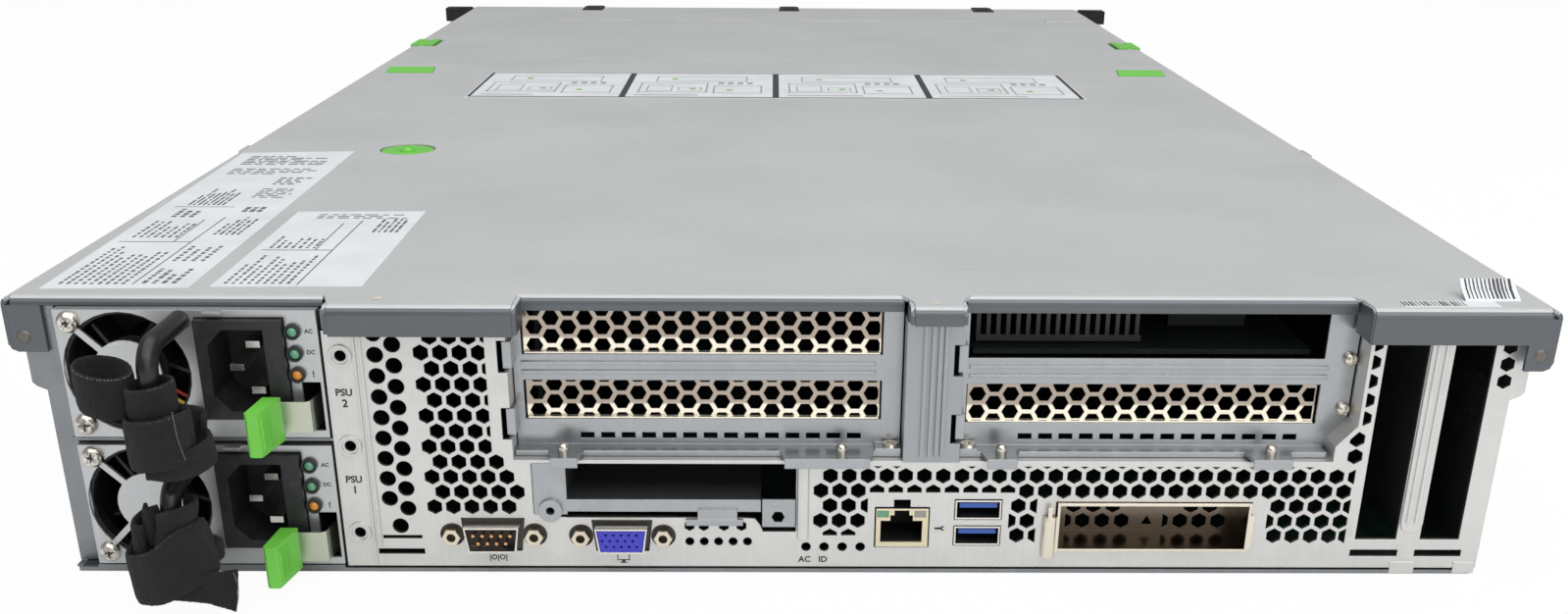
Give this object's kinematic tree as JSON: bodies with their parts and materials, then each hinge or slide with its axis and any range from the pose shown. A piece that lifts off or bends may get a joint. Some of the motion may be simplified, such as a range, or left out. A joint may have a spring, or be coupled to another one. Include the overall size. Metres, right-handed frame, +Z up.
{
  "type": "2u rack server",
  "caption": "Rack-mount server with two lift-off lids, twin plug-in power supplies with pull handles, pierced rear panel, riser slots, port cluster, internal fans and slide-out drive carriers.",
  "frame": {"origin": "centre of the bounding box at the height of the underside", "axes": "+X to the right seen from the rear panel, +Y from the rear panel to the front drives, +Z up"},
  "size_m": [0.4826, 0.812, 0.0906],
  "materials": {
    "galvanised_steel": "spangled zinc, dull",
    "zinc_plate": "bright zinc, fine brushed",
    "nickel_blank": "bright nickel",
    "circuit_board": "solder mask, satin",
    "plated_screw": "bright plated",
    "black_port": "black insulator in a bright shell",
    "blue_port": "blue insulator in a bright shell",
    "gold_port": "shielded jack",
    "usb_shell": "bright shell",
    "black_plastic": "fine moulded texture",
    "lamp_bezel": "dark bezel, dull lens",
    "green_plastic": "satin green",
    "handle_wire": "black coated wire",
    "strap_fabric": "brushed hook and loop",
    "lid_paint": "matt light grey",
    "label_film": "satin film",
    "gloss_button": "satin button",
    "carrier_plastic": "moulded dark grey",
    "cooler_aluminium": "extruded",
    "duct_plastic": "matt dark"
  },
  "bodies": {
    "chassis": {"chassis_tray": "galvanised_steel", "rear_panel": "zinc_plate", "psu_bay": "galvanised_steel", "riser_cage_left": "galvanised_steel", "riser_cage_right": "galvanised_steel", "slot_covers": "nickel_blank", "riser_cards": "circuit_board", "low_slot_frame": "zinc_plate", "serial_port": "black_port", "vga_port": "blue_port", "lan_port": "gold_port", "usb_ports": "usb_shell", "module_bracket": "galvanised_steel", "slot_divider": "zinc_plate", "rear_screws": "plated_screw", "front_top": "lid_paint", "front_hooks": "black_plastic", "rack_ears": "zinc_plate", "ear_caps": "black_plastic", "front_panel": "zinc_plate", "drive_cage": "galvanised_steel", "fan_frames": "black_plastic", "main_board": "circuit_board", "processor_coolers": "cooler_aluminium", "memory_modules": "circuit_board", "air_duct": "duct_plastic"},
    "rear_lid": {"rear_lid": "lid_paint", "lid_pads": "green_plastic", "lid_labels": "label_film"},
    "lid_lock": {"lid_lock": "green_plastic"},
    "front_lid": {"front_lid": "lid_paint"},
    "lid_grip_left": {"lid_grip_left": "green_plastic"},
    "lid_grip_right": {"lid_grip_right": "green_plastic"},
    "psu_1": {"psu_1_case": "zinc_plate", "psu_1_inlet": "black_plastic", "psu_1_lights": "lamp_bezel", "psu_1_handle": "handle_wire", "psu_1_strap": "strap_fabric"},
    "psu_1_fan": {"psu_1_fan": "black_plastic"},
    "psu_1_latch": {"psu_1_latch": "green_plastic"},
    "psu_2": {"psu_2_case": "zinc_plate", "psu_2_inlet": "black_plastic", "psu_2_lights": "lamp_bezel", "psu_2_handle": "handle_wire", "psu_2_strap": "strap_fabric"},
    "psu_2_fan": {"psu_2_fan": "black_plastic"},
    "psu_2_latch": {"psu_2_latch": "green_plastic"},
    "cooling_fan_1": {"cooling_fan_1": "black_plastic"},
    "cooling_fan_2": {"cooling_fan_2": "black_plastic"},
    "cooling_fan_3": {"cooling_fan_3": "black_plastic"},
    "cooling_fan_4": {"cooling_fan_4": "black_plastic"},
    "drive_1": {"drive_1": "carrier_plastic"},
    "drive_lever_1": {"drive_lever_1": "carrier_plastic"},
    "drive_2": {"drive_2": "carrier_plastic"},
    "drive_lever_2": {"drive_lever_2": "carrier_plastic"},
    "drive_3": {"drive_3": "carrier_plastic"},
    "drive_lever_3": {"drive_lever_3": "carrier_plastic"},
    "drive_4": {"drive_4": "carrier_plastic"},
    "drive_lever_4": {"drive_lever_4": "carrier_plastic"},
    "power_button": {"power_button": "gloss_button"}
  },
  "joints": [
    {"name": "rear_lid_lift", "type": "slide", "parent": "chassis", "child": "rear_lid", "axis": [0, 0, 1], "range_m": [0, 0.12]},
    {"name": "lid_lock_turn", "type": "hinge", "parent": "rear_lid", "child": "lid_lock", "pos_m": [-0.1535, -0.1485, 0.084], "axis": [0, 0, 1], "range_deg": [0, 90]},
    {"name": "front_lid_lift", "type": "slide", "parent": "chassis", "child": "front_lid", "axis": [0, 0, 1], "range_m": [0, 0.12]},
    {"name": "lid_grip_left_press", "type": "slide", "parent": "front_lid", "child": "lid_grip_left", "axis": [1, 0, 0], "range_m": [0, 0.0015], "stiffness_N_per_m": 800},
    {"name": "lid_grip_right_press", "type": "slide", "parent": "front_lid", "child": "lid_grip_right", "axis": [-1, 0, 0], "range_m": [0, 0.0015], "stiffness_N_per_m": 800},
    {"name": "psu_1_slide", "type": "slide", "parent": "chassis", "child": "psu_1", "axis": [0, -1, 0], "range_m": [0, 0.2]},
    {"name": "psu_1_latch_press", "type": "hinge", "parent": "psu_1", "child": "psu_1_latch", "pos_m": [-0.1342, -0.3485, 0.011], "axis": [0, 0, 1], "range_deg": [-6, 0], "stiffness_Nm_per_rad": 0.4},
    {"name": "psu_1_fan_spin", "type": "hinge", "parent": "psu_1", "child": "psu_1_fan", "pos_m": [-0.1879, -0.3555, 0.0225], "axis": [0, 1, 0], "continuous": true},
    {"name": "psu_2_slide", "type": "slide", "parent": "chassis", "child": "psu_2", "axis": [0, -1, 0], "range_m": [0, 0.2]},
    {"name": "psu_2_latch_press", "type": "hinge", "parent": "psu_2", "child": "psu_2_latch", "pos_m": [-0.1342, -0.3485, 0.0524], "axis": [0, 0, 1], "range_deg": [-6, 0], "stiffness_Nm_per_rad": 0.4},
    {"name": "psu_2_fan_spin", "type": "hinge", "parent": "psu_2", "child": "psu_2_fan", "pos_m": [-0.1879, -0.3555, 0.0639], "axis": [0, 1, 0], "continuous": true},
    {"name": "cooling_fan_1_spin", "type": "hinge", "parent": "chassis", "child": "cooling_fan_1", "pos_m": [-0.138, 0.1645, 0.0404], "axis": [0, 1, 0], "continuous": true},
    {"name": "cooling_fan_2_spin", "type": "hinge", "parent": "chassis", "child": "cooling_fan_2", "pos_m": [-0.046, 0.1645, 0.0404], "axis": [0, 1, 0], "continuous": true},
    {"name": "cooling_fan_3_spin", "type": "hinge", "parent": "chassis", "child": "cooling_fan_3", "pos_m": [0.046, 0.1645, 0.0404], "axis": [0, 1, 0], "continuous": true},
    {"name": "cooling_fan_4_spin", "type": "hinge", "parent": "chassis", "child": "cooling_fan_4", "pos_m": [0.138, 0.1645, 0.0404], "axis": [0, 1, 0], "continuous": true},
    {"name": "drive_1_slide", "type": "slide", "parent": "chassis", "child": "drive_1", "axis": [0, 1, 0], "range_m": [0, 0.17]},
    {"name": "drive_lever_1_swing", "type": "hinge", "parent": "drive_1", "child": "drive_lever_1", "pos_m": [-0.112, 0.3937, 0.0177], "axis": [0, 0, 1], "range_deg": [-75, 0]},
    {"name": "drive_2_slide", "type": "slide", "parent": "chassis", "child": "drive_2", "axis": [0, 1, 0], "range_m": [0, 0.17]},
    {"name": "drive_lever_2_swing", "type": "hinge", "parent": "drive_2", "child": "drive_lever_2", "pos_m": [-0.007, 0.3937, 0.0177], "axis": [0, 0, 1], "range_deg": [-75, 0]},
    {"name": "drive_3_slide", "type": "slide", "parent": "chassis", "child": "drive_3", "axis": [0, 1, 0], "range_m": [0, 0.17]},
    {"name": "drive_lever_3_swing", "type": "hinge", "parent": "drive_3", "child": "drive_lever_3", "pos_m": [0.098, 0.3937, 0.0177], "axis": [0, 0, 1], "range_deg": [-75, 0]},
    {"name": "drive_4_slide", "type": "slide", "parent": "chassis", "child": "drive_4", "axis": [0, 1, 0], "range_m": [0, 0.17]},
    {"name": "drive_lever_4_swing", "type": "hinge", "parent": "drive_4", "child": "drive_lever_4", "pos_m": [0.203, 0.3937, 0.0177], "axis": [0, 0, 1], "range_deg": [-75, 0]},
    {"name": "power_button_press", "type": "slide", "parent": "chassis", "child": "power_button", "axis": [0, -1, 0], "range_m": [0, 0.002], "stiffness_N_per_m": 300}
  ]
}
